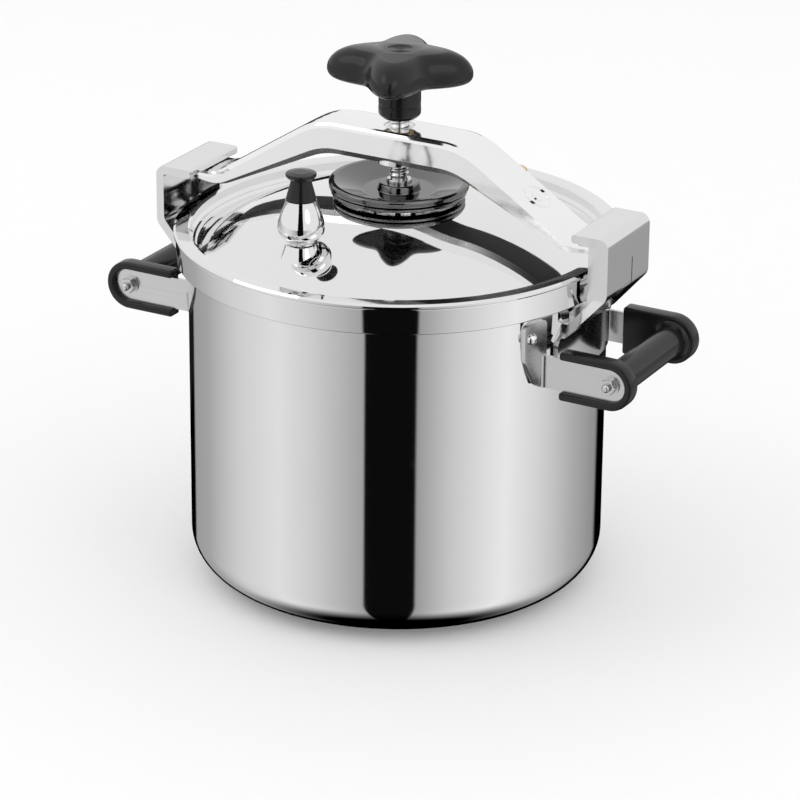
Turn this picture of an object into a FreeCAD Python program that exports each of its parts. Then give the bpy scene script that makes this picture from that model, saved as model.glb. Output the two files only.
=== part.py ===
"""Pressure canner with a bridge clamp: one solid or group of like solids per node.

Millimetres, +Z up. The origin is at the centre of the flat base, and the clamp beam lies along X.
"""
import FreeCAD, Part
import math
import os

V = FreeCAD.Vector
UP = V(0, 0, 1)
ALONG_X = V(1, 0, 0)
ALONG_Y = V(0, 1, 0)

# Pot
body_radius = 150.0
body_wall = 1.5
corner_radius = 28.0
pot_height = 257.0
collar_step = 8.5
collar_depth = 18.0
collar_slope = 2.5
collar_bend = 2.0
base_inset = 10.0
base_height = 4.0
base_cap_wall = 0.8
base_edge = 1.5

# Lid
lid_wall = 2.0
lid_overhang = 1.5
lid_edge_height = 3.7
lid_wall_gap = 6.7
lid_moat_depth = 12.0
lid_moat_width = 8.0
lid_dome_rise = 39.0
lid_recess = 8.0
recess_radius = 46.0
recess_floor_radius = 28.0
lid_step = 2.4
ring_height = 13.4

# Pressure dish on the lid
dish_radius = 50.0
dish_plate_thickness = 2.4
dish_gap = 1.5
dish_depth = 9.5
dish_rim = 4.8
dish_floor_radius = 27.0
dish_wall = 2.4
dish_foot_radius = 18.0
dish_socket_radius = 14.0

# Clamp beam
beam_width = 38.0
beam_depth = 25.0
beam_flat_half = 58.0
beam_tab_length = 23.5
beam_end_gap = 4.0
beam_tab_depth = 11.5
beam_rise = 54.0
beam_edge = 4.0
beam_bevel = 5.5
beam_crown = 0.8
boss_top_radius = 15.5
boss_bottom_radius = 16.5
boss_drop = 1.0
bush_radius = 11.0
medallion_radius = 11.0
medallion_ring = 1.4
medallion_proud = 0.8
medallion_place = 0.62

# Lugs on the pot
lug_reach = 26.5
lug_wall = 6.0
lug_cover = 28.2
lug_rise = 31.0
lug_shoulder_drop = 43.0
lug_root_drop = 70.0
lug_foot_drop = 102.0
lug_far_edge = 42.6
lug_near_edge = 23.5
lug_foot_half = 40.0
lug_foot_thickness = 3.5
stop_width = 15.0
slit_width = 1.2
slit_depth = 1.6
slit_length = 20.0
slit_place = 15.0

# Handles
handle_drop = 61.1
handle_reach = 44.6
strap_height = 23.6
strap_thickness = 2.5
strap_face = 52.0
strap_bend = 4.0
foot_length = 18.0
foot_rivet_share = 0.80
foot_rivet_height = 0.76
foot_height = 50.0
rivet_radius = 4.2
rivet_head = 3.0
cheek_rim = 6.0
cheek_start = 7.0
cheek_thickness = 11.5
cheek_proud = 4.0
grip_radius = 11.5
grip_blend = 2.5
bolt_radius = 3.0
bolt_tip = 3.5
nut_flats = 10.0
nut_height = 4.2
washer_radius = 7.0
washer_thickness = 1.0

# Screw and knob
screw_radius = 7.0
thread_pitch = 4.0
thread_depth = 0.9
hub_radius = 15.0
hub_length = 27.0
hub_chamfer = 3.0
hub_lift = 6.0
knob_radius = 51.0
knob_waist = 34.0
knob_height = 23.0
knob_lobes = 4
knob_turn = 20.0
badge_radius = 11.0
badge_thickness = 1.2
insert_radius = 10.0
collar_nut_radius = 8.6

# Regulating weight and its vent
vent_angle = 256.3
vent_inset = 40.7
vent_pad_radius = 11.0
vent_pad_draft = 4.0
vent_radius = 4.0
vent_bore = 1.5
vent_hex_flats = 16.0
vent_hex_height = 4.0
vent_flange_radius = 10.4
vent_flange_height = 1.5
vent_length = 20.0
vent_tail = 12.0
weight_bottom_radius = 13.5
weight_belly_radius = 16.5
weight_belly_height = 8.0
weight_neck_radius = 10.8
weight_height = 28.0
cap_neck_radius = 6.8
cap_radius = 10.8
cap_height = 20.0

# Safety valve
safety_angle = 62.0
safety_radius = 9.0
safety_height = 13.0
safety_pin_radius = 3.0

# Steaming plate
rack_gap = 2.0
rack_thickness = 1.2
rack_rim_height = 5.0
rack_hole = 1.4
rack_hole_step = 10.5
rack_rib = 2.4
rack_rib_height = 0.8

# Clearances
seat_gap = 0.3
weld_gap = 0.1
running_gap = 0.06
bolt_gap = 0.3
beam_side_gap = 1.0

# Places worked out from the sizes above
pot_inner = body_radius - body_wall
collar_radius = body_radius + collar_step
collar_inner = collar_radius - body_wall
base_radius = body_radius - corner_radius - base_inset
rack_radius = pot_inner - rack_gap
lug_outer = body_radius + lug_reach
lug_inner = lug_outer - lug_cover
lug_top = pot_height + lug_rise
ledge_bottom = pot_height - collar_depth - collar_slope
lid_radius = collar_radius + lid_overhang
lid_seat = pot_height + seat_gap
lid_top = lid_seat + lid_edge_height
lid_inner = collar_inner - lid_wall_gap - lid_wall
moat_top = lid_top - lid_moat_depth
moat_radius = lid_inner - lid_moat_width
vent_circle = moat_radius - vent_inset
crown_top = moat_top + lid_dome_rise
pad_top = crown_top - lid_recess
plate_bottom = pad_top + lid_wall
dish_bottom = plate_bottom + dish_plate_thickness + dish_gap
dish_top = dish_bottom + dish_depth
beam_tab_top = lug_top - lug_wall - seat_gap
beam_top = beam_tab_top + beam_rise
beam_bottom = beam_top - beam_depth
beam_end = lug_outer - lug_wall - beam_end_gap
beam_tab_start = beam_end - beam_tab_length
hub_bottom = beam_top + hub_lift
knob_bottom = hub_bottom + hub_length
handle_x = body_radius + handle_reach
handle_height = pot_height - handle_drop
stop_face = beam_width / 2 + beam_side_gap


def unit(vector):
    return vector * (1.0 / vector.Length)


def rounded(points, radii):
    """A closed face of straight sides whose corners are arcs of the given radii."""
    count = len(points)
    starts, middles, ends = [], [], []
    for i in range(count):
        corner = points[i]
        back = unit(points[i - 1] - corner)
        ahead = unit(points[(i + 1) % count] - corner)
        half = back.getAngle(ahead) / 2
        radius = radii[i]
        reach = radius / math.tan(half)
        starts.append(corner + back * reach)
        ends.append(corner + ahead * reach)
        inward = unit(back + ahead) if radius else V(0, 0, 0)
        middles.append(corner + inward * (radius / math.sin(half) - radius))
    edges = []
    for i in range(count):
        if radii[i]:
            edges.append(Part.Arc(starts[i], middles[i], ends[i]).toShape())
        following = starts[(i + 1) % count]
        if (following - ends[i]).Length > 1e-6:
            edges.append(Part.LineSegment(ends[i], following).toShape())
    return Part.Face(Part.Wire(edges))


def outline(pairs, place):
    """A face from (a, b, corner radius) rows, with place(a, b) giving each corner in space."""
    return rounded([place(a, b) for a, b, _ in pairs], [r for _, _, r in pairs])


def in_xz(a, b):
    return V(a, 0, b)


def turned(rows):
    """A solid of revolution about Z from (radius, height, corner radius) rows."""
    return outline(rows, in_xz).revolve(V(0, 0, 0), UP, 360)


def slab(rows, low, high):
    """An X-Z outline carried along Y from low to high."""
    solid = outline(rows, lambda a, b: V(a, low, b)).extrude(V(0, high - low, 0))
    return solid


def pillar(radius, low, high, x=0.0, y=0.0):
    return Part.makeCylinder(radius, high - low, V(x, y, low), UP)


def hexagon(flats, low, high, x=0.0, y=0.0):
    """A hexagonal bar along Z."""
    corner = flats / math.sqrt(3)
    turns = [math.radians(60 * i) for i in range(6)]
    points = [V(x + corner * math.cos(t), y + corner * math.sin(t), low) for t in turns]
    return Part.Face(Part.makePolygon(points + points[:1])).extrude(V(0, 0, high - low))


def along_y(solid, x, z):
    """Lay a solid that was made along Z on the line through (x, z) that runs along Y."""
    laid = solid.copy()
    laid.rotate(V(0, 0, 0), ALONG_X, -90)
    laid.translate(V(x, 0, z))
    return laid


def half_turn(solid):
    other = solid.copy()
    other.rotate(V(0, 0, 0), UP, 180)
    return other


def mirrored(solid, normal):
    return solid.mirror(V(0, 0, 0), normal)


def lid_height(radius):
    """Height of the lid's upper face on its dome."""
    sphere = (moat_radius ** 2 + lid_dome_rise ** 2) / (2 * lid_dome_rise)
    return crown_top - sphere + math.sqrt(sphere ** 2 - radius ** 2)


# ---------------------------------------------------------------- pot

def pot_body():
    bend = collar_bend
    inner_bend = collar_bend + body_wall
    rows = [
        (0, base_height, 0),
        (body_radius, base_height, corner_radius),
        (body_radius, ledge_bottom, inner_bend),
        (collar_radius, ledge_bottom + collar_slope, inner_bend),
        (collar_radius, pot_height, 0.6),
        (collar_inner, pot_height, 0.6),
        (collar_inner, ledge_bottom + collar_slope + body_wall, bend),
        (pot_inner, ledge_bottom + body_wall, inner_bend),
        (pot_inner, base_height + body_wall, corner_radius - body_wall),
        (0, base_height + body_wall, 0),
    ]
    return turned(rows)


def base_core():
    return pillar(base_radius - base_cap_wall, base_cap_wall, base_height)


def base_cap():
    cup = turned([
        (0, 0, 0),
        (base_radius, 0, base_edge),
        (base_radius, base_height, 0),
        (0, base_height, 0),
    ])
    return cup.cut(base_core())


def lug():
    """The hook on the +X side: a bent plate on a foot that follows the pot's wall."""
    shoulder = lug_top - lug_shoulder_drop
    root = lug_top - lug_root_drop
    low = lug_top - lug_foot_drop
    inside = lug_outer - lug_wall
    under = lug_top - lug_wall
    wall = body_radius + weld_gap
    near, far = -lug_near_edge, lug_far_edge
    foot_outer = wall + lug_foot_thickness
    hook = slab([
        (lug_inner, lug_top, 2.0),
        (lug_outer, lug_top, 7.0),
        (lug_outer, shoulder, 9.0),
        (foot_outer - 2.0, root - 1.5, 0),
        (body_radius - 12.0, root - 1.5, 0),
        (body_radius - 12.0, root + 7.0, 0),
        (body_radius + 1.0, root + 7.0, 0),
        (inside, shoulder + 3.0, 8.0),
        (inside, under, 2.0),
        (lug_inner, under, 2.0),
    ], -lug_foot_half, far)
    stop = slab([
        (lug_outer - stop_width, under + 1.0, 0),
        (lug_outer - 2.0, under + 1.0, 0),
        (lug_outer - 2.0, shoulder, 8.0),
        (body_radius + 4.0, root + 4.0, 0),
        (body_radius - 6.0, root + 4.0, 0),
        (body_radius - 6.0, root + 10.0, 0),
        (lug_outer - stop_width, shoulder - 4.0, 8.0),
    ], near, -stop_face)
    foot = pillar(foot_outer, low, root + 6.0).cut(pillar(wall, low - 1, root + 7.0))
    frame = outline([
        (near, lug_top + 1, 0),
        (far, lug_top + 1, 0),
        (far, low, 5.0),
        (-lug_foot_half, low, 5.0),
        (-lug_foot_half, root - 6.0, 10.0),
        (near, shoulder - 7.0, 45.0),
    ], lambda a, b: V(body_radius - 30.0, a, b)).extrude(V(lug_reach + 40.0, 0, 0))
    whole = hook.fuse([stop, foot]).cut(pillar(wall, low - 1, lug_top - 30.0)).common(frame)
    groove = Part.makeBox(slit_depth, slit_width, slit_length,
                          V(lug_outer - slit_depth, slit_place, shoulder))
    return whole.removeSplitter().cut(groove)


def strap():
    """The bracket at the front of the +X handle: a riveted foot on the wall and a leg along X."""
    wall = body_radius + weld_gap
    low = handle_height - strap_height / 2
    tube = pillar(wall + strap_thickness, low, low + foot_height)
    tube = tube.cut(pillar(wall, low - 1, low + foot_height + 1))
    start = strap_face - strap_thickness
    plate = outline([
        (-start, low, 0),
        (-start, low + foot_height, 4.0),
        (-start - foot_length, low + foot_height, 6.0),
        (-start - foot_length, low + foot_height * 0.45, 10.0),
        (-start - foot_length * 0.4, low, 9.0),
    ], lambda a, b: V(body_radius - 40.0, a, b)).extrude(V(60.0, 0, 0))
    foot = tube.common(plate)
    end = strap_height / 2
    leg = slab([
        (body_radius - 20.0, low, 0),
        (handle_x + end, low, end - 0.01),
        (handle_x + end, low + strap_height, end - 0.01),
        (body_radius - 20.0, low + strap_height, 0),
    ], -strap_face, -start)
    leg = leg.cut(pillar(wall, low - 1, low + strap_height + 1))
    hole = along_y(pillar(bolt_radius + bolt_gap, -200, 200), handle_x, handle_height)
    whole = leg.fuse(foot).removeSplitter()
    corner = [e for e in whole.Edges
              if abs(e.CenterOfMass.y + strap_face) < 0.05 and e.BoundBox.ZLength > strap_height - 1
              and e.CenterOfMass.x < body_radius and e.BoundBox.XLength < 0.5]
    return whole.makeFillet(strap_bend, corner).cut(hole)


def rivet_place():
    """Y and Z of the rivet in a strap's foot."""
    low = handle_height - strap_height / 2
    return -(strap_face + foot_length * foot_rivet_share - rivet_radius), low + foot_height * foot_rivet_height


def rivet():
    """A domed rivet head on the front strap's foot."""
    y, z = rivet_place()
    wall = body_radius + weld_gap + strap_thickness + weld_gap
    turn = math.degrees(math.asin(y / wall))
    ball = (rivet_radius ** 2 + rivet_head ** 2) / (2 * rivet_head)
    dome = Part.makeSphere(ball, V(wall + rivet_head - ball, 0, z))
    head = dome.common(Part.makeBox(20, 20, 20, V(wall, -10, z - 10)))
    neck = Part.makeCylinder(rivet_radius * 0.8, rivet_head * 0.5, V(wall, 0, z), ALONG_X)
    head = head.fuse(neck).removeSplitter()
    head.rotate(V(0, 0, 0), UP, turn)
    return head


def handle():
    """The +X moulding: two cheeks with pockets for the straps, and the grip bar between them."""
    half = strap_height / 2 + cheek_rim
    inner = body_radius + cheek_start
    face = strap_face + cheek_proud

    def cheek_outline(margin, low, high):
        size = half - margin
        return slab([
            (inner - (margin > 0) * 20.0, handle_height - size, 3.0),
            (handle_x + size, handle_height - size, size - 0.01),
            (handle_x + size, handle_height + size, size - 0.01),
            (inner - (margin > 0) * 20.0, handle_height + size, 3.0),
        ], low, high)

    pocket_margin = cheek_rim - 0.3
    floor = strap_face - strap_thickness - 0.1
    cheek = cheek_outline(0, -face, cheek_thickness - face)
    cheek = cheek.cut(cheek_outline(pocket_margin, -face - 1, -floor))
    bar = along_y(pillar(grip_radius, cheek_thickness - face, face - cheek_thickness),
                  handle_x, handle_height)
    whole = bar.fuse([cheek, mirrored(cheek, ALONG_Y)])
    reach = face - cheek_thickness
    seams = [e for e in whole.Edges
             if abs(abs(e.CenterOfMass.y) - reach) < 0.01
             and e.Curve.TypeId == "Part::GeomCircle"
             and abs(e.Curve.Radius - grip_radius) < 0.01]
    whole = whole.makeFillet(grip_blend, seams)
    hole = along_y(pillar(bolt_radius + bolt_gap, -200, 200), handle_x, handle_height)
    return whole.cut(hole)


def handle_bolt():
    """A through bolt with its head at the back and a rounded tip at the front."""
    front = strap_face + washer_thickness + nut_height + bolt_tip
    rows = [
        (0, -front, 0),
        (bolt_radius, -front, bolt_radius * 0.6),
        (bolt_radius, strap_face, 0),
        (0, strap_face, 0),
    ]
    shank = turned(rows)
    head = hexagon(nut_flats, strap_face, strap_face + nut_height)
    return along_y(shank.fuse(head).removeSplitter(), handle_x, handle_height)


def handle_nut():
    low = strap_face + washer_thickness
    bar = hexagon(nut_flats, -low - nut_height, -low)
    dome = turned([
        (0, -low - nut_height, 0),
        (nut_flats * 0.52, -low - nut_height, 0),
        (nut_flats * 0.60, -low - nut_height + 1.2, 0),
        (nut_flats * 0.60, -low, 0),
        (0, -low, 0),
    ])
    bore = pillar(bolt_radius + running_gap, -low - nut_height - 1, -low + 1)
    return along_y(bar.common(dome).cut(bore), handle_x, handle_height)


def handle_washer():
    ring = pillar(washer_radius, -strap_face - washer_thickness, -strap_face)
    ring = ring.cut(pillar(bolt_radius + running_gap, -strap_face - 2, -strap_face + 1))
    return along_y(ring, handle_x, handle_height)


# ---------------------------------------------------------------- lid

def lid_shell():
    step = lid_step
    wall = lid_wall
    outer = lid_inner + wall
    halfway = (recess_radius + moat_radius) / 2
    drop = V(0, 0, -wall)
    arc = [V(a, 0, lid_height(a)) for a in (recess_radius, halfway, moat_radius)]
    top = Part.Arc(*arc).toShape()
    below = Part.Arc(*[point + drop for point in reversed(arc)]).toShape()
    recess = [V(0, 0, pad_top), V(recess_floor_radius, 0, pad_top), arc[0]]
    inside = Part.makePolygon(recess)
    under = Part.makePolygon([point + drop for point in reversed(recess)])
    rows = [
        (moat_radius, moat_top),
        (lid_inner - 2 * step, moat_top),
        (lid_inner - 1.5 * step, moat_top + step),
        (lid_inner - 0.8 * step, moat_top + step),
        (lid_inner, moat_top + 2 * step),
        (lid_inner, lid_top - 1.5),
        (lid_inner + 1.5, lid_top),
        (lid_radius - 1.5, lid_top),
        (lid_radius, lid_top - 1.5),
        (lid_radius, lid_seat + 0.8),
        (lid_radius - 0.8, lid_seat),
        (outer, lid_seat),
        (outer, moat_top + step),
        (lid_inner - step, moat_top - wall),
        (moat_radius, moat_top - wall),
    ]
    points = [V(a, 0, b) for a, b in rows]
    rim = Part.makePolygon(points)
    axis = Part.LineSegment(recess[0] + drop, recess[0]).toShape()
    edges = inside.Edges + [top] + rim.Edges + [below] + under.Edges + [axis]
    shell = Part.Face(Part.Wire(edges)).revolve(V(0, 0, 0), UP, 360)
    for x, y in (vent_place(), safety_place()):
        shell = shell.fuse(vent_pad(x, y))
        shell = shell.cut(pillar(vent_radius + running_gap, moat_top, crown_top, x, y))
    return shell


def sealing_ring():
    inner = lid_inner + lid_wall + seat_gap
    outer = collar_inner - seat_gap
    high = lid_seat - weld_gap
    low = high - ring_height
    ring = turned([
        (inner, low, 0.6),
        (outer - 1.5, low, 0.8),
        (outer, low + 4.0, 0.6),
        (outer, high, 0.4),
        (inner, high, 0.4),
    ])
    ledge = turned([
        (0, low - 5, 0),
        (pot_inner - 1, low - 5, 0),
        (pot_inner - 1, ledge_bottom + body_wall, 0),
        (collar_inner + 1, ledge_bottom + collar_slope + body_wall + 1.0, 0),
        (collar_inner + 1, low - 5, 0),
        (collar_inner + 9, low - 5, 0),
        (collar_inner + 9, low - 9, 0),
        (0, low - 9, 0),
    ])
    return ring.cut(ledge)


def dish_foot():
    """The pad welded to the middle of the lid that carries the dish."""
    return turned([
        (0, pad_top + weld_gap, 0),
        (dish_foot_radius, pad_top + weld_gap, 0),
        (dish_foot_radius, plate_bottom - weld_gap, 0.5),
        (0, plate_bottom - weld_gap, 0),
    ])


def dish_plate():
    """The lower plate of the dish, turned up at its edge to lie under the upper one."""
    wall = dish_plate_thickness
    edge = dish_bottom + dish_depth - dish_rim - dish_gap
    return turned([
        (0, plate_bottom, 0),
        (dish_floor_radius - 2.0, plate_bottom, 3.0),
        (dish_radius - 4.0, edge - wall, 2.0),
        (dish_radius - 1.5, edge - wall, 0.8),
        (dish_radius - 1.5, edge, 0.8),
        (dish_radius - 4.5, edge, 2.0),
        (dish_floor_radius - 2.0, plate_bottom + wall, 3.0),
        (dish_floor_radius - 6.0, plate_bottom + wall, 0),
        (dish_floor_radius - 6.0, dish_bottom - weld_gap, 0),
        (0, dish_bottom - weld_gap, 0),
    ])


def pressure_dish():
    floor = dish_bottom + dish_wall
    socket_top = dish_top - 1.5
    rows = [
        (0, dish_bottom, 0),
        (dish_floor_radius, dish_bottom, 4.0),
        (dish_radius - 4.0, dish_top - dish_rim - 0.8, 2.0),
        (dish_radius, dish_top - dish_rim, 1.2),
        (dish_radius, dish_top, 1.8),
        (dish_radius - 4.0, dish_top, 1.0),
        (dish_floor_radius - 1.0, floor, 6.0),
        (dish_socket_radius + 1.5, floor, 1.0),
        (dish_socket_radius, socket_top, 1.5),
        (collar_nut_radius + 0.4, socket_top, 0),
        (collar_nut_radius + 0.4, floor, 0),
        (0, floor, 0),
    ]
    return turned(rows)


def vent_place():
    turn = math.radians(vent_angle)
    return vent_circle * math.cos(turn), vent_circle * math.sin(turn)


def vent_seat():
    """Height of the flat pad under a fitting, and the lowest height of the lid's lower face there."""
    high = lid_height(vent_circle - vent_pad_radius)
    low = lid_height(vent_circle + vent_pad_radius) - lid_wall
    return high, low


def vent_pad(x, y):
    """A flat-topped cone raised on the dome, so that a fitting seats squarely."""
    high, low = vent_seat()
    rise = high - low
    cone = Part.makeCone(vent_pad_radius + vent_pad_draft, vent_pad_radius, rise, V(x, y, low), UP)
    sphere = (moat_radius ** 2 + lid_dome_rise ** 2) / (2 * lid_dome_rise)
    return cone.cut(Part.makeSphere(sphere - lid_wall / 2, V(0, 0, crown_top - sphere)))


def through_stem(radius, top_rows):
    """A stem through the lid with a hexagon above it, with more of it above as turned rows."""
    high, low = vent_seat()
    stem = [(0, low - vent_tail, 0), (radius, low - vent_tail, 0.6)]
    stem += [(a, high + b, r) for a, b, r in top_rows]
    return turned(stem), high


def vent_pipe():
    body, high = through_stem(vent_radius, [
        (vent_radius, vent_hex_height + vent_length - 4.0, 0.5),
        (vent_radius - 1.5, vent_hex_height + vent_length, 0.5),
        (0, vent_hex_height + vent_length, 0),
    ])
    body = body.fuse(hexagon(vent_hex_flats, high + seat_gap, high + vent_hex_height))
    flange = turned([
        (0, high + seat_gap, 0),
        (vent_flange_radius, high + seat_gap, 0.8),
        (vent_flange_radius - 1.0, high + vent_flange_height, 1.0),
        (0, high + vent_flange_height, 0),
    ])
    bore = pillar(vent_bore, 0, high + vent_hex_height + vent_length + 1)
    whole = body.fuse(flange).removeSplitter().cut(bore)
    whole.translate(V(*vent_place(), 0))
    return whole


def tail_nut(x, y):
    """The nut and its gasket share the stem below the lid."""
    _, low = vent_seat()
    nut = hexagon(vent_hex_flats - 2.0, low - 8.0, low - 3.0, x, y)
    return nut.cut(pillar(vent_radius + running_gap, low - 9, low, x, y))


def tail_gasket(x, y):
    """A silicone washer squeezed against the curved underside of the lid."""
    _, low = vent_seat()
    washer = pillar(vent_hex_flats * 0.55, low - 3.0 + weld_gap, low + 4.0, x, y)
    washer = washer.cut(pillar(vent_radius + running_gap, low - 4, low + 5, x, y))
    sphere = (moat_radius ** 2 + lid_dome_rise ** 2) / (2 * lid_dome_rise)
    inside = Part.makeSphere(sphere - lid_wall - weld_gap, V(0, 0, crown_top - sphere))
    return washer.common(inside)


def anti_clog_cap():
    """A slotted cup over the lower end of the vent, inside the pot."""
    x, y = vent_place()
    _, low = vent_seat()
    top = low - 8.0 - weld_gap
    cup = turned([
        (vent_radius + running_gap, top, 0),
        (11.0, top, 1.0),
        (11.0, top - 10.0, 3.0),
        (0, top - 10.0, 0),
        (0, top - 8.8, 0),
        (9.8, top - 8.8, 2.0),
        (9.8, top - 1.2, 0),
        (vent_radius + running_gap, top - 1.2, 0),
    ])
    for i in range(4):
        slot = Part.makeBox(30, 2.0, 5.0, V(-15, -1.0, top - 7.5))
        slot.rotate(V(0, 0, 0), UP, 45 * i)
        cup = cup.cut(slot)
    cup.translate(V(x, y, 0))
    return cup


def safety_place():
    turn = math.radians(safety_angle)
    return vent_circle * math.cos(turn), vent_circle * math.sin(turn)


def safety_housing():
    """The housing of the spring safety valve, behind the beam."""
    body, high = through_stem(vent_radius, [
        (vent_radius, 1.0, 0),
        (0, 1.0, 0),
    ])
    cup = turned([
        (0, high + seat_gap, 0),
        (safety_radius, high + seat_gap, 0.5),
        (safety_radius, high + safety_height, 1.5),
        (0, high + safety_height, 0),
    ])
    hexed = hexagon(vent_hex_flats + 2.0, high + seat_gap, high + 5.0)
    whole = body.fuse([cup, hexed]).removeSplitter()
    whole = whole.cut(pillar(vent_bore, 0, high + 2.0))
    whole = whole.cut(pillar(safety_pin_radius + running_gap, high + 2.0, high + safety_height + 1))
    whole = whole.cut(pillar(safety_radius - 2.5, high + 3.5, high + safety_height - 2.0))
    whole.translate(V(*safety_place(), 0))
    return whole


def safety_spring():
    """Rings standing for the coils that hold the safety pin down."""
    high, _ = vent_seat()
    x, y = safety_place()
    wire = 0.6
    middle = safety_pin_radius + 1.8
    rings = []
    low = high + 3.5 + wire + 0.9
    for i in range(3):
        rings.append(Part.makeTorus(middle, wire, V(x, y, low + 1.9 * i), UP))
    return Part.makeCompound(rings)


def safety_pin():
    high, _ = vent_seat()
    pin = turned([
        (0, high + 2.0 + weld_gap, 0),
        (safety_pin_radius, high + 2.0 + weld_gap, 0.6),
        (safety_pin_radius, high + safety_height + 2.5, 1.2),
        (0, high + safety_height + 2.5, 0),
    ])
    pin.translate(V(*safety_place(), 0))
    return pin


# ---------------------------------------------------------------- regulating weight

def weight_base():
    high, _ = vent_seat()
    return high + vent_hex_height + seat_gap


def weight_body():
    low = weight_base()
    top = low + weight_height
    x, y = vent_place()
    profile = Part.BSplineCurve()
    belly = low + weight_belly_height
    profile.interpolate([
        V(weight_bottom_radius, 0, low + 1.0),
        V(weight_belly_radius - 0.5, 0, (low + 1.0 + belly) / 2),
        V(weight_belly_radius, 0, belly),
        V((weight_belly_radius + weight_neck_radius) / 2 + 0.5, 0, (belly + top) / 2),
        V(weight_neck_radius, 0, top),
    ])
    edges = [
        profile.toShape(),
        Part.LineSegment(V(weight_neck_radius, 0, top), V(0, 0, top)).toShape(),
        Part.LineSegment(V(0, 0, top), V(0, 0, low)).toShape(),
        Part.LineSegment(V(0, 0, low), V(weight_bottom_radius - 1, 0, low)).toShape(),
        Part.LineSegment(V(weight_bottom_radius - 1, 0, low),
                         V(weight_bottom_radius, 0, low + 1.0)).toShape(),
    ]
    body = Part.Face(Part.Wire(edges)).revolve(V(0, 0, 0), UP, 360)
    bore = pillar(vent_radius + running_gap + 0.03, low - 1, low + vent_length + seat_gap)
    body = body.cut(bore)
    for i in range(3):
        port = Part.makeCylinder(1.6, 40, V(0, 0, low + 4.5), ALONG_X)
        port.rotate(V(0, 0, 0), UP, 120 * i + 30)
        body = body.cut(port)
    body.translate(V(x, y, 0))
    return body


def weight_cap():
    low = weight_base() + weight_height + weld_gap
    neck = cap_height - 5.0
    cap = turned([
        (0, low, 0),
        (weight_neck_radius, low, 0.6),
        (cap_neck_radius, low + neck, 1.0),
        (cap_radius - 1.5, low + neck + 0.6, 0.8),
        (cap_radius, low + neck + 2.4, 1.0),
        (cap_radius, low + cap_height - 0.8, 1.0),
        (cap_radius * 0.5, low + cap_height, 0),
        (0, low + cap_height, 0),
    ])
    cap.translate(V(*vent_place(), 0))
    return cap


# ---------------------------------------------------------------- beam

def beam_section(y, top_drop, bottom_rise):
    """The beam's side outline at one place across its width."""
    end = beam_end - top_drop
    tab_bottom = beam_tab_top - beam_tab_depth
    side = [
        (beam_flat_half, beam_top - top_drop, 55.0),
        (beam_tab_start - 1.0, beam_tab_top - top_drop, 24.0),
        (end, beam_tab_top - top_drop, 0),
        (end, tab_bottom + beam_tab_depth * 0.45, 0),
        (beam_tab_start - 3.0, tab_bottom + bottom_rise * 0.4, 24.0),
        (beam_flat_half - 5.0, beam_bottom + bottom_rise, 50.0),
    ]
    rows = [(-x, z, r) for x, z, r in reversed(side)] + side
    return outline(rows, lambda a, b: V(a, y, b)).OuterWire


def beam():
    """The cast beam: crowned on top, rounded along its upper edges, bevelled along its lower ones."""
    half = beam_width / 2
    across = []
    for turn in (0, 30, 60, 90):
        t = math.radians(turn)
        across.append((half - beam_edge + beam_edge * math.cos(t), beam_edge * (1 - math.sin(t))))
    across += [(half - beam_bevel, 0), (half * 0.4, 0), (0, 0)]
    sections = []
    for y, edge_drop in across:
        drop = edge_drop + beam_crown * (y / half) ** 2
        rise = max(0, beam_bevel - (half - y))
        sections.append((y, drop, rise))
    outlines = [beam_section(-y, drop, rise) for y, drop, rise in sections]
    outlines += [beam_section(y, drop, rise) for y, drop, rise in reversed(sections[:-1])]
    solid = Part.makeLoft(outlines, True, True)
    boss = Part.makeCone(boss_bottom_radius, boss_top_radius, beam_depth + boss_drop - 4.0,
                         V(0, 0, beam_bottom - boss_drop), UP)
    solid = solid.fuse(boss)
    solid = solid.cut(pillar(bush_radius, beam_bottom - 20, beam_top + 20))
    return solid.fuse(medallion()).removeSplitter()


def medallion():
    """A plain raised ring on the slope of the right arm."""
    run = beam_tab_start - 1.0 - beam_flat_half
    fall = beam_top - beam_tab_top
    tilt = math.degrees(math.atan2(fall, run))
    x = beam_flat_half + run * medallion_place
    z = beam_top - fall * medallion_place
    ring = pillar(medallion_radius, -1.0, medallion_proud)
    ring = ring.cut(pillar(medallion_radius - medallion_ring, -2.0, medallion_proud + 1))
    dot = pillar(medallion_radius * 0.45, -1.0, medallion_proud)
    both = Part.makeCompound([ring, dot])
    both.rotate(V(0, 0, 0), ALONG_Y, tilt)
    both.translate(V(x, 0, z))
    return both.Solids


def beam_bush():
    """The threaded bush pressed into the beam's boss."""
    rows = [
        (screw_radius + running_gap, beam_bottom - boss_drop - 1.0, 0),
        (bush_radius - weld_gap, beam_bottom - boss_drop - 1.0, 0.8),
        (bush_radius - weld_gap, beam_top - 0.5, 0.5),
        (screw_radius + running_gap, beam_top - 0.5, 0),
    ]
    return turned(rows)


# ---------------------------------------------------------------- screw and knob

def clamp_screw():
    """The screw with ring grooves standing for its thread, and a ball end in the dish."""
    low = dish_bottom + dish_wall + seat_gap
    top = knob_bottom + knob_height * 0.45
    first = beam_bottom - boss_drop - 12.0
    root = screw_radius - thread_depth
    rows = [(0, low), (5.0, low), (root, low + 3.0), (root, first)]
    turns = int((hub_bottom + 2.0 - first) / thread_pitch)
    for i in range(turns):
        z = first + i * thread_pitch
        rows += [(screw_radius, z + 0.25 * thread_pitch), (screw_radius, z + 0.5 * thread_pitch)]
        rows += [(root, z + 0.75 * thread_pitch), (root, z + thread_pitch)]
    rows += [(root, top), (0, top)]
    return turned([(a, b, 0) for a, b in rows])


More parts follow.
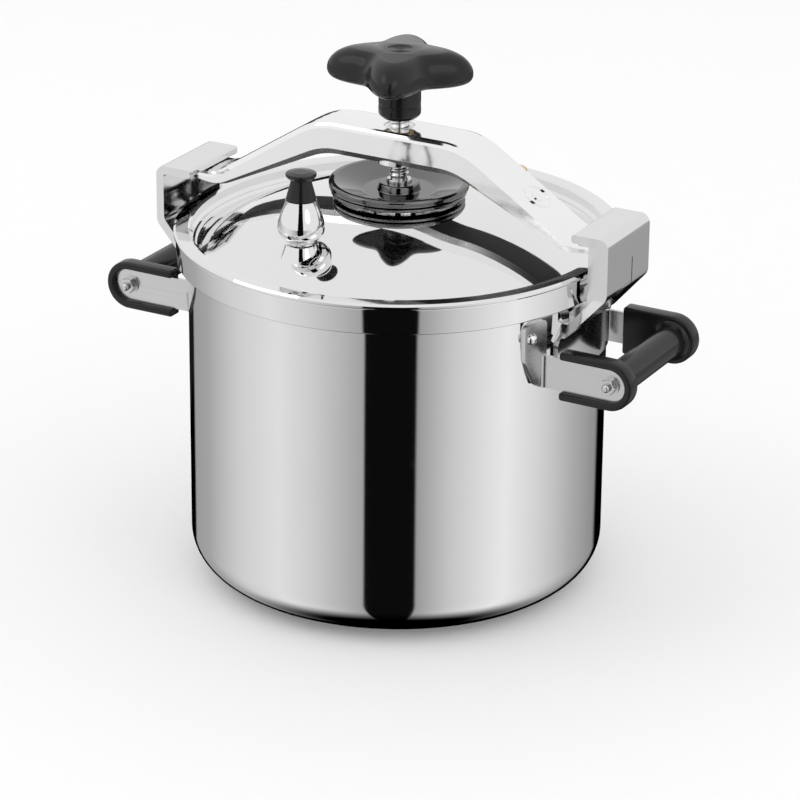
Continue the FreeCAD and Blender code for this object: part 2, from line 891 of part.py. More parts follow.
def screw_collar():
    """The collar nut that holds the screw's end in the dish's socket."""
    low = dish_bottom + dish_wall + seat_gap + 3.2
    high = beam_bottom - boss_drop - 13.0
    inner = screw_radius - thread_depth + running_gap
    return turned([
        (inner, low, 0),
        (collar_nut_radius, low, 0.5),
        (collar_nut_radius, high, 1.0),
        (inner, high, 0),
    ])


def flower(scale, z, lobe_share=1.0):
    """A smooth closed curve with one bulge for each lobe."""
    steps = 12 * knob_lobes
    middle = (knob_radius + knob_waist) / 2
    swing = (knob_radius - knob_waist) / 2 * lobe_share
    points = []
    for i in range(steps):
        turn = 2 * math.pi * i / steps
        radius = scale * (middle + swing * math.cos(knob_lobes * turn))
        place = turn + math.radians(knob_turn)
        points.append(V(radius * math.cos(place), radius * math.sin(place), z))
    curve = Part.BSplineCurve()
    curve.interpolate(points, PeriodicFlag=True)
    return Part.Wire(curve.toShape())


def knob():
    z = knob_bottom
    h = knob_height
    levels = [
        (0.60, 0.00, 0.7),
        (0.90, 0.06, 1.0),
        (1.00, 0.24, 1.0),
        (0.97, 0.50, 1.0),
        (0.85, 0.76, 1.0),
        (0.64, 0.94, 0.9),
        (0.38, 1.00, 0.5),
    ]
    head = Part.makeLoft([flower(s, z + h * t, share) for s, t, share in levels], True)
    hub = turned([
        (0, hub_bottom, 0),
        (hub_radius - hub_chamfer, hub_bottom, 0.5),
        (hub_radius, hub_bottom + hub_chamfer, 1.0),
        (hub_radius, knob_bottom + h * 0.4, 0),
        (0, knob_bottom + h * 0.4, 0),
    ])
    whole = head.fuse(hub).removeSplitter()
    whole = whole.cut(pillar(badge_radius + weld_gap, z + h - 2.0, z + h + 5))
    bore = pillar(insert_radius, hub_bottom - 1, knob_bottom + h * 0.55)
    return whole.cut(bore)


def knob_insert():
    """The metal insert moulded into the hub that the screw is fixed in."""
    tube = pillar(insert_radius - weld_gap, hub_bottom + 0.5, knob_bottom + knob_height * 0.55 - 0.5)
    screw = clamp_screw()
    gap = pillar(screw_radius + weld_gap, hub_bottom - 1, hub_bottom + 6.0)
    core = pillar(screw_radius - thread_depth + weld_gap, hub_bottom - 1,
                  knob_bottom + knob_height * 0.45 + weld_gap)
    return tube.cut(gap).cut(core).cut(screw)


def knob_badge():
    """A plain disc with a raised edge, let into the top of the knob."""
    z = knob_bottom + knob_height - 2.0 + weld_gap
    disc = turned([
        (0, z, 0),
        (badge_radius, z, 0),
        (badge_radius, z + 1.8, 0.5),
        (badge_radius - 1.6, z + 1.8, 0.5),
        (badge_radius - 2.2, z + badge_thickness, 0.3),
        (0, z + badge_thickness, 0),
    ])
    return disc


# ---------------------------------------------------------------- steaming plate

def rack_height():
    """The plate rests where the pot's wall begins to turn into its floor."""
    bend = corner_radius - body_wall
    offset = rack_radius - (body_radius - corner_radius)
    return base_height + corner_radius - math.sqrt(bend ** 2 - offset ** 2) + seat_gap


def rack_cells():
    """Centres of the middle cell and the six around it, and the cell's inner radius."""
    pitch = rack_radius * 0.55
    ring = [(pitch * math.cos(math.radians(60 * i)), pitch * math.sin(math.radians(60 * i)))
            for i in range(6)]
    return ring, pitch / 2


def steam_plate():
    low = rack_height()
    top = low + rack_rim_height
    plate = turned([
        (0, top - rack_thickness - 2.0, 0),
        (rack_radius - 9.0, top - rack_thickness - 2.0, 2.0),
        (rack_radius - 6.0, top - rack_thickness, 2.0),
        (rack_radius - rack_thickness, top - rack_thickness, 0.8),
        (rack_radius - rack_thickness, low, 0),
        (rack_radius, low, 0),
        (rack_radius, top, 2.0),
        (rack_radius - 6.5, top, 2.5),
        (rack_radius - 9.5, top - 2.0, 2.5),
        (0, top - 2.0, 0),
    ])
    face = top - 2.0
    ring, inner = rack_cells()
    ribs = []
    for x, y in ring:
        outer_hex = hexagon(2 * inner, face - 0.2, face + rack_rib_height, x, y)
        inner_hex = hexagon(2 * (inner - rack_rib), face - 1, face + 2, x, y)
        for piece in (outer_hex, inner_hex):
            piece.rotate(V(x, y, 0), UP, 30 + math.degrees(math.atan2(y, x)))
        ribs.append(outer_hex.cut(inner_hex))
    middle = pillar(inner * 0.62, face - 0.2, face + rack_rib_height)
    ribs.append(middle.cut(pillar(inner * 0.62 - rack_rib, face - 1, face + 2)))
    plate = plate.fuse(ribs).removeSplitter()
    holes = []
    rows = int(rack_radius / rack_hole_step)
    for i in range(-rows, rows + 1):
        for j in range(-rows, rows + 1):
            x = (i + 0.5 * (j % 2)) * rack_hole_step
            y = j * rack_hole_step * math.sqrt(3) / 2
            clear = math.hypot(x, y) < rack_radius - 12.0
            if clear and not near_rib(x, y, ring, inner):
                holes.append(pillar(rack_hole, face - 3, face + 1, x, y))
    return plate.cut(Part.makeCompound(holes))


def near_rib(x, y, ring, inner):
    """Whether a hole at x, y would cut into one of the raised ribs."""
    margin = rack_hole + 0.6
    distance = math.hypot(x, y)
    if abs(distance - (inner * 0.62 - rack_rib / 2)) < rack_rib / 2 + margin:
        return True
    for cx, cy in ring:
        turn = math.atan2(cy, cx)
        across = 0.0
        for i in range(6):
            side = turn + math.radians(60 * i)
            across = max(across, (x - cx) * math.cos(side) + (y - cy) * math.sin(side))
        if abs(across - (inner - rack_rib / 2)) < rack_rib / 2 + margin:
            return True
    return False


def pair(solid):
    """A solid and its mirror image on the other side of the pot."""
    return [solid, mirrored(solid, ALONG_X)]


def build():
    right_strap = strap()
    back_strap = mirrored(right_strap, ALONG_Y)
    front_rivet = rivet()
    rivets = pair(front_rivet) + pair(mirrored(front_rivet, ALONG_Y))
    right_lug = lug()
    right_handle = handle()
    nodes = {
        "pot_body": pot_body(),
        "base_core": base_core(),
        "base_cap": base_cap(),
        "lug_right": right_lug,
        "lug_left": half_turn(right_lug),
        "strap_right_front": right_strap,
        "strap_right_back": back_strap,
        "strap_left_front": mirrored(right_strap, ALONG_X),
        "strap_left_back": mirrored(back_strap, ALONG_X),
        "strap_rivets": Part.makeCompound(rivets),
        "handle_right": right_handle,
        "handle_left": mirrored(right_handle, ALONG_X),
        "handle_bolts": Part.makeCompound(pair(handle_bolt())),
        "handle_nuts": Part.makeCompound(pair(handle_nut())),
        "handle_washers": Part.makeCompound(pair(handle_washer())),
        "lid_shell": lid_shell(),
        "sealing_ring": sealing_ring(),
        "dish_foot": dish_foot(),
        "dish_plate": dish_plate(),
        "pressure_dish": pressure_dish(),
        "vent_pipe": vent_pipe(),
        "vent_nut": tail_nut(*vent_place()),
        "vent_gasket": tail_gasket(*vent_place()),
        "anti_clog_cap": anti_clog_cap(),
        "safety_housing": safety_housing(),
        "safety_nut": tail_nut(*safety_place()),
        "safety_gasket": tail_gasket(*safety_place()),
        "safety_spring": safety_spring(),
        "safety_pin": safety_pin(),
        "weight_body": weight_body(),
        "weight_cap": weight_cap(),
        "clamp_beam": beam(),
        "beam_bush": beam_bush(),
        "clamp_screw": clamp_screw(),
        "screw_collar": screw_collar(),
        "knob": knob(),
        "knob_insert": knob_insert(),
        "knob_badge": knob_badge(),
        "steam_plate": steam_plate(),
    }
    os.makedirs("parts", exist_ok=True)
    for name, shape in nodes.items():
        if not shape.isValid():
            print("invalid shape", name)
        shape.exportStep("parts/" + name + ".step")
        box = shape.BoundBox
        print(name, len(shape.Solids), round(shape.Volume),
              [round(v, 1) for v in (box.XMin, box.XMax, box.YMin, box.YMax, box.ZMin, box.ZMax)])


build()
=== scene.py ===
"""Looks of a pressure canner with a bridge clamp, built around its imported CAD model.

Metres, +Z up, in the same frame as the CAD. Every size that the CAD already holds is read
from its nodes, so the new pieces follow it.
"""
import math

import bmesh
import bpy
from bpy.props import FloatProperty, FloatVectorProperty, IntProperty, PointerProperty
from mathutils import Matrix, Vector


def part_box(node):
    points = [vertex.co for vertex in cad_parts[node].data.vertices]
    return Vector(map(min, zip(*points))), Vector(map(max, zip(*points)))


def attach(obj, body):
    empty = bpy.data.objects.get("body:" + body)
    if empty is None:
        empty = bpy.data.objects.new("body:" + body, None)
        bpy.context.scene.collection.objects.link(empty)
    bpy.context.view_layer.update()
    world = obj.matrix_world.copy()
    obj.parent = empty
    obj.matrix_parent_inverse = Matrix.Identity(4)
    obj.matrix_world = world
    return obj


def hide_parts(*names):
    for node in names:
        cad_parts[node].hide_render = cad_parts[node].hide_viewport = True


bl_info = {
    "name": "Pressure canner",
    "version": (1, 0, 0),
    "blender": (4, 5, 0),
    "location": "View3D > Sidebar > Canner",
    "description": "Detailed pieces and finishes for a pressure canner with a bridge clamp",
    "category": "Add Mesh",
}

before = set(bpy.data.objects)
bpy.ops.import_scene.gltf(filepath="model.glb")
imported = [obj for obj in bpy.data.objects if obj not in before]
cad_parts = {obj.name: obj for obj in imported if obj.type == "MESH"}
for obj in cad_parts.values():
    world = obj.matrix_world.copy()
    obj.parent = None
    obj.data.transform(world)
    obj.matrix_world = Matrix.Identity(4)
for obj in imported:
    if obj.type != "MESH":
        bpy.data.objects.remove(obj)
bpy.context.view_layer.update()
FULL_TURN = 2 * math.pi
MM = 0.001
HAIR = 0.05 * MM
MERGE = 2e-6
ARC_STEP = math.radians(7.5)


# ---------------------------------------------------------------- modelling helpers

def put_down():
    """Leave edit mode and deselect everything, the CAD nodes among them."""
    if bpy.context.object and bpy.context.object.mode != "OBJECT":
        bpy.ops.object.mode_set(mode="OBJECT")
    bpy.ops.object.select_all(action="DESELECT")


def pick_up(piece):
    put_down()
    piece.select_set(True)
    bpy.context.view_layer.objects.active = piece


def edit(piece, mode="VERT"):
    pick_up(piece)
    bpy.ops.object.mode_set(mode="EDIT")
    bpy.ops.mesh.select_mode(type=mode)
    bpy.ops.mesh.select_all(action="DESELECT")


def choose(piece, test, kind="verts"):
    """Select the vertices, edges or faces of the piece in edit mode that pass a test of their place."""
    mesh = bmesh.from_edit_mesh(piece.data)
    for group in (mesh.faces, mesh.edges, mesh.verts):
        for element in group:
            element.select = False
    for element in getattr(mesh, kind):
        if kind == "verts":
            passed = test(element.co)
        elif kind == "faces":
            passed = test(element.calc_center_median(), element.normal)
        else:
            passed = test((element.verts[0].co + element.verts[1].co) / 2)
        if passed:
            element.select = True
    mesh.select_flush_mode()
    bmesh.update_edit_mesh(piece.data)


def apply_modifier(piece, kind, **settings):
    pick_up(piece)
    modifier = piece.modifiers.new(kind.title(), kind)
    for name, value in settings.items():
        setattr(modifier, name, value)
    bpy.ops.object.modifier_apply(modifier=modifier.name)


def chain(name, points):
    """A row of vertices joined by edges, drawn point by point from a plane merged to one vertex."""
    put_down()
    bpy.ops.mesh.primitive_plane_add(size=MM, location=(0, 0, 0))
    piece = bpy.context.object
    piece.name = name
    piece.data.name = name
    bpy.ops.object.mode_set(mode="EDIT")
    bpy.ops.mesh.select_mode(type="VERT")
    bpy.ops.mesh.select_all(action="SELECT")
    bpy.ops.mesh.merge(type="CENTER")
    here = Vector(points[0])
    bpy.ops.transform.translate(value=here)
    for point in points[1:]:
        step = Vector(point) - here
        bpy.ops.mesh.extrude_vertices_move(TRANSFORM_OT_translate={"value": step})
        here = Vector(point)
    return piece


def lathe(name, rows, steps=96, centre=(0, 0)):
    """A turned piece about a vertical line from (radius, height) rows that begin and end on it."""
    x, y = centre
    piece = chain(name, [(x + a, y, b) for a, b in rows])
    bpy.ops.mesh.select_all(action="SELECT")
    bpy.ops.mesh.spin(steps=steps, angle=FULL_TURN, center=(x, y, 0), axis=(0, 0, 1))
    bpy.ops.mesh.select_all(action="SELECT")
    bpy.ops.mesh.remove_doubles(threshold=MERGE)
    bpy.ops.mesh.normals_make_consistent(inside=False)
    put_down()
    return piece


def curved(rows, radius, steps=4):
    """The same (radius, height) rows with every inner corner rounded off."""
    out = [rows[0]]
    for before, corner, after in zip(rows, rows[1:], rows[2:]):
        here = Vector(corner)
        back = Vector(before) - here
        ahead = Vector(after) - here
        reach = min(radius, back.length * 0.45, ahead.length * 0.45)
        first = here + back.normalized() * reach
        last = here + ahead.normalized() * reach
        for i in range(steps + 1):
            t = i / steps
            out.append(tuple(first * (1 - t) ** 2 + here * 2 * t * (1 - t) + last * t ** 2))
    out.append(rows[-1])
    return out


def rounded(rows):
    """(radius, height, rounding) rows, each inner corner turned into an arc of its own radius."""
    out = [rows[0][:2]]
    for before, corner, after in zip(rows, rows[1:], rows[2:]):
        here = Vector(corner[:2])
        back = (Vector(before[:2]) - here).normalized()
        ahead = (Vector(after[:2]) - here).normalized()
        half = back.angle(ahead) / 2
        centre = here + (back + ahead).normalized() * corner[2] / math.sin(half)
        reach = corner[2] / math.tan(half)
        first = here + back * reach - centre
        last = here + ahead * reach - centre
        sweep = math.pi - 2 * half
        steps = max(2, round(sweep / ARC_STEP))
        for i in range(steps + 1):
            turn = sweep * i / steps
            arm = (first * math.sin(sweep - turn) + last * math.sin(turn)) / math.sin(sweep)
            out.append(tuple(centre + arm))
    out.append(rows[-1][:2])
    return out


def join(pieces, name):
    pick_up(pieces[0])
    for other in pieces[1:]:
        other.select_set(True)
    bpy.ops.object.join()
    piece = bpy.context.object
    piece.name = name
    piece.data.name = name
    return piece


def copy_turned(piece, name, matrix):
    """A copy of a piece with its own mesh, moved by a matrix that may mirror it."""
    other = piece.copy()
    other.data = piece.data.copy()
    other.name = name
    other.data.name = name
    bpy.context.scene.collection.objects.link(other)
    other.data.transform(matrix)
    if matrix.determinant() < 0:
        other.data.flip_normals()
    return other


def smooth(piece, angle=35):
    pick_up(piece)
    bpy.ops.object.shade_smooth_by_angle(angle=math.radians(angle))


def settle(piece, body, replaced, material):
    """Put the piece's place into its mesh, finish it, and tie it to the frame."""
    pick_up(piece)
    bpy.ops.object.transform_apply(location=True, rotation=True, scale=True)
    piece.data.materials.clear()
    piece.data.materials.append(material)
    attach(piece, body)
    if replaced:
        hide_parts(*replaced)
    return piece


# ---------------------------------------------------------------- shader helpers

class Wire:
    """A node's output that Python arithmetic can be written on."""

    def __init__(self, finish, socket):
        self.finish = finish
        self.socket = socket

    def maths(self, operation, *values):
        inputs = dict(enumerate(values))
        return self.finish.node("ShaderNodeMath", {"operation": operation}, inputs)

    def __add__(self, other):
        return self.maths("ADD", self, other)

    __radd__ = __add__

    def __sub__(self, other):
        return self.maths("SUBTRACT", self, other)

    def __rsub__(self, other):
        return self.maths("SUBTRACT", other, self)

    def __mul__(self, other):
        return self.maths("MULTIPLY", self, other)

    __rmul__ = __mul__

    def __truediv__(self, other):
        return self.maths("DIVIDE", self, other)

    def __pow__(self, other):
        return self.maths("POWER", self, other)

    def plain(self):
        """A grey colour as one number."""
        return self.finish.node("ShaderNodeRGBToBW", None, {"Color": self})

    def sine(self):
        return self.maths("SINE", self)

    def window(self, low, high):
        """0 below low, 1 above high, and smooth between them."""
        return self.finish.node("ShaderNodeMapRange", {"interpolation_type": "SMOOTHSTEP"},
                                {"Value": self, "From Min": low, "From Max": high})


class Finish:
    """A node material, built with one method for every kind of node."""

    def __init__(self, name):
        self.material = bpy.data.materials.new(name)
        self.material.use_nodes = True
        self.tree = self.material.node_tree
        self.tree.nodes.clear()
        self.output = self.tree.nodes.new("ShaderNodeOutputMaterial")

    def node(self, kind, settings=None, inputs=None, output=0):
        node = self.tree.nodes.new(kind)
        for name, value in (settings or {}).items():
            if name == "stops":
                while len(node.color_ramp.elements) < len(value):
                    node.color_ramp.elements.new(0.5)
                for element, (place, shade) in zip(node.color_ramp.elements, value):
                    element.position = place
                    element.color = (shade, shade, shade, 1)
            else:
                setattr(node, name, value)
        for name, value in (inputs or {}).items():
            if isinstance(value, Wire):
                self.tree.links.new(value.socket, node.inputs[name])
            else:
                node.inputs[name].default_value = value
        return Wire(self, node.outputs[output])

    def place(self, scale=(1, 1, 1), location=(0, 0, 0), rotation=(0, 0, 0)):
        """Object coordinates in metres, moved, turned and stretched."""
        spot = self.node("ShaderNodeTexCoord", output="Object")
        return self.node("ShaderNodeMapping", {"vector_type": "POINT"},
                         {"Vector": spot, "Location": location, "Rotation": rotation,
                          "Scale": scale})

    def around(self, centre=(0, 0)):
        """Distance from a vertical line, angle about it from -1 to 1, and height."""
        spot = self.place(location=(-centre[0], -centre[1], 0))
        x = self.node("ShaderNodeSeparateXYZ", inputs={0: spot}, output="X")
        y = self.node("ShaderNodeSeparateXYZ", inputs={0: spot}, output="Y")
        z = self.node("ShaderNodeSeparateXYZ", inputs={0: spot}, output="Z")
        angle = x.maths("ARCTAN2", y, x) / math.pi
        return (x * x + y * y) ** 0.5, angle, z

    def spun(self, fine=900.0, long=6.0):
        """A place for streaks that run round the vertical axis."""
        radius, angle, height = self.around()
        return self.node("ShaderNodeCombineXYZ",
                         inputs={0: radius * fine, 1: height * fine, 2: angle * long})

    def noise(self, place, scale=1.0, detail=3.0, rough=0.5):
        return self.node("ShaderNodeTexNoise", {"noise_dimensions": "3D"},
                         {"Vector": place, "Scale": scale, "Detail": detail,
                          "Roughness": rough})

    def mix(self, share, first, second):
        """Colours blended by a share; a plain tuple gets its alpha here."""
        first, second = [(*c, 1) if isinstance(c, tuple) else c for c in (first, second)]
        return self.node("ShaderNodeMix", {"data_type": "RGBA"}, {0: share, 6: first, 7: second},
                         output=2)

    def glow(self, strength):
        """Finish with light alone."""
        lamp = self.node("ShaderNodeEmission", None, {"Color": (1, 1, 1, 1), "Strength": strength},
                         output="Emission")
        self.tree.links.new(lamp.socket, self.output.inputs["Surface"])

    def bump(self, height, strength, distance, normal=None):
        inputs = {"Height": height, "Strength": strength, "Distance": distance}
        if normal:
            inputs["Normal"] = normal
        return self.node("ShaderNodeBump", None, inputs)

    def shader(self, **inputs):
        """Finish with one Principled shader; the keyword names are its sockets, with _ for a space."""
        named = {name.replace("_", " "): value for name, value in inputs.items()}
        for name, value in named.items():
            if isinstance(value, tuple) and len(value) == 3:
                named[name] = (*value, 1)
        shader = self.node("ShaderNodeBsdfPrincipled", None, named)
        self.tree.links.new(shader.socket, self.output.inputs["Surface"])
        return self.material


OLD_BRASS = (0.5, 0.36, 0.18)


def grey(level):
    return (level, level, level)


def darker(colour, share):
    return tuple(channel * share for channel in colour)


# ---------------------------------------------------------------- finishes

def mirror_steel(name, colour, roughness, ripple=0.0006, spun=True, haze=0.03):
    """Mirror-polished steel: faint buffing lines, handling haze and a slow ripple."""
    f = Finish(name)
    spot = f.place()
    lines = f.noise(f.spun(), 1.0, 4.0, 0.65) if spun else f.noise(f.place((60, 900, 900)), 1.0, 4.0)
    cloud = f.noise(spot, 14.0, 4.0, 0.55)
    smear = f.noise(spot, 55.0, 3.0, 0.6).window(0.55, 0.80)
    speck = f.noise(spot, 900.0, 1.0, 0.4).window(0.74, 0.80)
    shade = f.mix(cloud * 0.6 + speck * 0.3, colour, darker(colour, 0.93))
    rough = roughness + cloud.window(0.45, 0.75) * haze * 0.5 + smear * haze + lines * 0.012
    slow = f.noise(spot, 9.0, 1.0, 0.3)
    wave = f.bump(slow, 0.25, ripple)
    fine = f.bump(lines, 0.05, 0.00002, wave)
    return f.shader(Base_Color=shade, Metallic=1.0, Roughness=rough, Normal=fine)


def satin_steel(name, colour, roughness, stretch=(8, 900, 900)):
    """Brushed steel with long scratches along one axis and softly worn patches."""
    f = Finish(name)
    spot = f.place()
    brushed = f.noise(f.place(stretch), 1.0, 5.0, 0.7)
    scratch = f.noise(f.place(tuple(v * 0.35 for v in stretch), (3, 1, 2)), 1.0, 2.0).window(0.66, 0.72)
    cloud = f.noise(spot, 30.0, 4.0, 0.6)
    shade = f.mix(brushed * 0.5 + cloud * 0.5, colour, darker(colour, 0.84))
    rough = roughness + (brushed - 0.5) * 0.12 + cloud.window(0.5, 0.8) * 0.06 + scratch * 0.08
    fine = f.bump(brushed + scratch * 0.6, 0.18, 0.00003)
    return f.shader(Base_Color=shade, Metallic=1.0, Roughness=rough, Normal=fine)


def cast_steel(name, colour, roughness):
    """Polished cast steel: soft dents left by the casting under a bright polish."""
    f = Finish(name)
    spot = f.place()
    slow = f.noise(spot, 26.0, 2.0, 0.4)
    grain = f.noise(spot, 420.0, 3.0, 0.6)
    pits = f.noise(spot, 1300.0, 1.0, 0.5).window(0.72, 0.80)
    smear = f.noise(spot, 60.0, 3.0, 0.6).window(0.50, 0.78)
    shade = f.mix(slow * 0.5 + pits * 0.4, colour, darker(colour, 0.88))
    rough = roughness + smear * 0.06 + grain * 0.04 + pits * 0.10
    # Faces that point down are painted nearly black: painted shade under the beam. The same mask also makes
    # them rough and half metallic, as an unpolished casting.
    facing = f.node("ShaderNodeNewGeometry", output="Normal")
    upward = f.node("ShaderNodeSeparateXYZ", inputs={0: facing}, output="Z")
    shaded_rough_underside = 1 - upward.window(-0.85, -0.60)
    skin = f.noise(spot, 700.0, 4.0, 0.7)
    shade = f.mix(shaded_rough_underside, shade, darker(colour, 0.07))
    rough = rough + shaded_rough_underside * (0.34 + skin * 0.2)
    dents = f.bump(slow, 0.35, 0.0009)
    fine = f.bump(grain - pits * 0.6 + shaded_rough_underside * skin * 4.0, 0.10, 0.00006, dents)
    return f.shader(Base_Color=shade, Metallic=1 - shaded_rough_underside * 0.5, Roughness=rough, Normal=fine)


def phenolic(name, colour, roughness, swirl=24.0):
    """Glossy black moulded phenolic: a faint flow pattern, dust in the gloss and rubbed patches."""
    f = Finish(name)
    spot = f.place()
    flow = f.noise(f.place((1, 2.2, 1), (0.3, 0.1, 0)), swirl, 3.0, 0.6)
    dust = f.noise(spot, 1500.0, 1.0, 0.5).window(0.73, 0.80)
    rub = f.noise(spot, 45.0, 4.0, 0.6).window(0.52, 0.80)
    shade = f.mix(flow * 0.5 + dust * 0.5, colour, tuple(c * 2.0 + 0.006 for c in colour))
    rough = roughness + rub * 0.12 + flow * 0.05
    skin = f.bump(f.noise(spot, 260.0, 3.0, 0.55), 0.12, 0.00012)
    fine = f.bump(dust, 0.15, 0.00004, skin)
    return f.shader(Base_Color=shade, Roughness=rough, IOR=1.44, Specular_IOR_Level=0.42, Normal=fine)


def rubbery(name, colour):
    """Milky silicone with moulding bloom."""
    f = Finish(name)
    spot = f.place()
    bloom = f.noise(spot, 38.0, 4.0, 0.6)
    grain = f.noise(spot, 1200.0, 2.0, 0.5)
    shade = f.mix(bloom, colour, darker(colour, 0.82))
    rough = 0.42 + bloom * 0.22
    skin = f.bump(grain, 0.2, 0.00005)
    return f.shader(Base_Color=shade, Roughness=rough, Subsurface_Weight=0.15,
                    Subsurface_Scale=0.004, IOR=1.41, Normal=skin)


def turned_metal(name, colour, roughness, centre, tarnish):
    """Lathe-turned metal with tool lines round one vertical axis and dull patches."""
    f = Finish(name)
    radius, _, height = f.around(centre)
    tool = (radius * 9000.0 + height * 9000.0).sine()
    cloud = f.noise(f.place(), 90.0, 4.0, 0.6)
    shade = f.mix(cloud.window(0.40, 0.75), colour, tarnish)
    rough = roughness + cloud * 0.16 + tool * 0.02
    lines = f.bump(tool, 0.12, 0.00003)
    return f.shader(Base_Color=shade, Metallic=1.0, Roughness=rough, Normal=lines)


def base_steel(name, colour, roughness):
    """The sandwich base: turned rings underneath, heat tint and scuffs where it stands."""
    f = Finish(name)
    radius, _, height = f.around()
    rings = (radius * 2600.0).sine()
    cloud = f.noise(f.place(), 22.0, 4.0, 0.6)
    scuff = f.noise(f.place((1, 1, 1)), 240.0, 4.0, 0.7).window(0.52, 0.70)
    low = 1 - height.window(0.0005, 0.0025)
    tint = f.mix(cloud.window(0.45, 0.8) * 0.5, colour, (0.62, 0.52, 0.40))
    shade = f.mix(scuff * low * 0.6, tint, darker(colour, 0.45))
    rough = roughness + rings * 0.03 + scuff * low * 0.25 + cloud * 0.05
    lines = f.bump(rings * 0.5 - scuff * low, 0.25, 0.00006)
    return f.shader(Base_Color=shade, Metallic=1.0, Roughness=rough, Normal=lines)


# ---------------------------------------------------------------- settings a user may change

def length(name, description, default):
    return FloatProperty(name=name, description=description, default=default, min=0.0,
                         unit="LENGTH", subtype="DISTANCE")


def angle(name, description, degrees):
    return FloatProperty(name=name, description=description, default=math.radians(degrees),
                         subtype="ANGLE")


def colour(name, description, default):
    return FloatVectorProperty(name=name, description=description, default=default, size=3,
                               min=0.0, max=1.0, subtype="COLOR")


class CannerFinishSettings(bpy.types.PropertyGroup):
    steel: colour("Mirror steel", "Colour of the pot, lid and weight", grey(0.86))
    lug_steel: colour("Hook steel", "Colour of the two hooks on the pot", grey(0.80))
    beam_steel: colour("Beam steel", "Colour of the cast clamp beam", grey(0.97))
    # The dish's colour is darkened far below the other steel: painted shade under the beam.
    dish_steel: colour("Dish steel", "Colour of the dark pressure dish", grey(0.18))
    strap_steel: colour("Strap steel", "Colour of the satin handle straps", grey(0.74))
    phenolic: colour("Phenolic", "Colour of the handles and the knob", grey(0.006))
    silicone: colour("Silicone", "Colour of the seal and gaskets", (0.72, 0.72, 0.70))
    brass: colour("Brass", "Colour of the safety valve and insert", (0.78, 0.60, 0.30))
    aluminium: colour("Aluminium", "Colour of the core in the base", (0.75, 0.75, 0.76))
    mirror: FloatProperty(name="Mirror roughness", description="Roughness of the brightest polish",
                          default=0.035, min=0.0, max=1.0, subtype="FACTOR")
    gloss: FloatProperty(name="Phenolic roughness", description="Roughness of the black mouldings",
                         default=0.16, min=0.0, max=1.0, subtype="FACTOR")


class CannerPotSettings(bpy.types.PropertyGroup):
    wall: length("Wall", "Thickness of the pot's wall", 1.5 * MM)
    step: length("Collar step", "How far the collar stands out from the wall", 8.5 * MM)
    depth: length("Collar depth", "Height of the collar's straight side", 18.0 * MM)
    slope: length("Collar slope", "Height over which the wall widens into the collar", 2.5 * MM)
    corner: length("Corner radius", "Radius between the wall and the bottom", 28.0 * MM)
    crease: length("Crease radius", "Rounding of the collar's two bends", 1.0 * MM)
    lip: length("Lip radius", "Rounding of the pot's upper edge", 0.6 * MM)


class CannerHandleSettings(bpy.types.PropertyGroup):
    cheek: length("Cheek thickness", "Thickness of each side of a handle", 11.5 * MM)
    pocket_depth: length("Pocket depth", "How far the strap is let into the cheek", 6.6 * MM)
    rim: length("Rim", "Width of the wall round the strap's pocket", 5.7 * MM)
    grip: length("Grip radius", "Radius of the bar the fingers hold", 11.5 * MM)
    edge: length("Edge radius", "Rounding of the moulding's outer edges", 1.8 * MM)
    flare: length("Flare", "How far the bar widens where it meets a cheek", 3.6 * MM)


class CannerKnobSettings(bpy.types.PropertyGroup):
    lobes: IntProperty(name="Lobes", description="Number of finger lobes", default=4, min=3, max=8)
    turn: angle("Turn", "Direction of one lobe when the screw is tight", 20)
    reach: length("Reach", "Radius of the knob at a lobe's tip", 50.8 * MM)
    waist: length("Waist radius", "Radius of the knob between two lobes", 31.5 * MM)
    head: length("Head height", "Height of the knob above its hub", 23.0 * MM)
    hub: length("Hub radius", "Radius of the stem under the knob", 15.0 * MM)
    flare: length("Hub flare", "How far the hub widens into the head and narrows at its foot", 3.0 * MM)
    groove: length("Hub groove", "Depth of the line round the hub", 0.5 * MM)
    bore: length("Bore radius", "Radius of the hole for the screw's insert", 10.0 * MM)
    badge: length("Badge radius", "Radius of the disc let into the top", 11.0 * MM)


class CannerScrewSettings(bpy.types.PropertyGroup):
    pitch: length("Pitch", "Distance between two turns of the thread", 4.0 * MM)
    depth: length("Depth", "Depth of the thread", 0.9 * MM)
    wire: length("Spring wire", "Radius of the safety spring's wire", 0.6 * MM)
    coil: length("Coil radius", "Radius of the safety spring", 4.8 * MM)
    turns: IntProperty(name="Spring turns", description="Turns of the safety spring", default=4,
                       min=2, max=8)


class CannerStageSettings(bpy.types.PropertyGroup):
    turn: angle("Camera turn", "How far round the pot the camera stands", 28.8)
    rise: angle("Camera rise", "How far the camera looks down", 22.5)
    roll: angle("Camera roll", "How far the camera leans", 0.5)
    aim: length("Camera aim", "Height of the point the camera looks at", 132.5 * MM)
    distance: length("Camera distance", "Distance from the aim to the camera", 2.7)
    lens: FloatProperty(name="Camera lens", description="Focal length in millimetres", default=167.7)
    floor: colour("Floor", "Colour of the floor", grey(0.965))
    room: FloatProperty(name="Room light", description="Brightness of the plain white room",
                        default=1.0, min=0.0)
    sheen: FloatProperty(name="Room in reflections",
                         description="Share of the room's light that shiny surfaces show",
                         default=0.9, min=0.0, max=1.0, subtype="FACTOR")
    key: FloatProperty(name="Key light", description="Power of the large soft light",
                       default=5.0, min=0.0, unit="POWER")


class CannerSettings(bpy.types.PropertyGroup):
    finish: PointerProperty(type=CannerFinishSettings)
    pot: PointerProperty(type=CannerPotSettings)
    handle: PointerProperty(type=CannerHandleSettings)
    knob: PointerProperty(type=CannerKnobSettings)
    screw: PointerProperty(type=CannerScrewSettings)
    stage: PointerProperty(type=CannerStageSettings)


def settings():
    return bpy.context.scene.canner


def plain(value):
    return tuple(float(v) for v in value)


def valve_centre(node):
    low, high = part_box(node)
    return (low.x + high.x) / 2, (low.y + high.y) / 2


# ---------------------------------------------------------------- operators

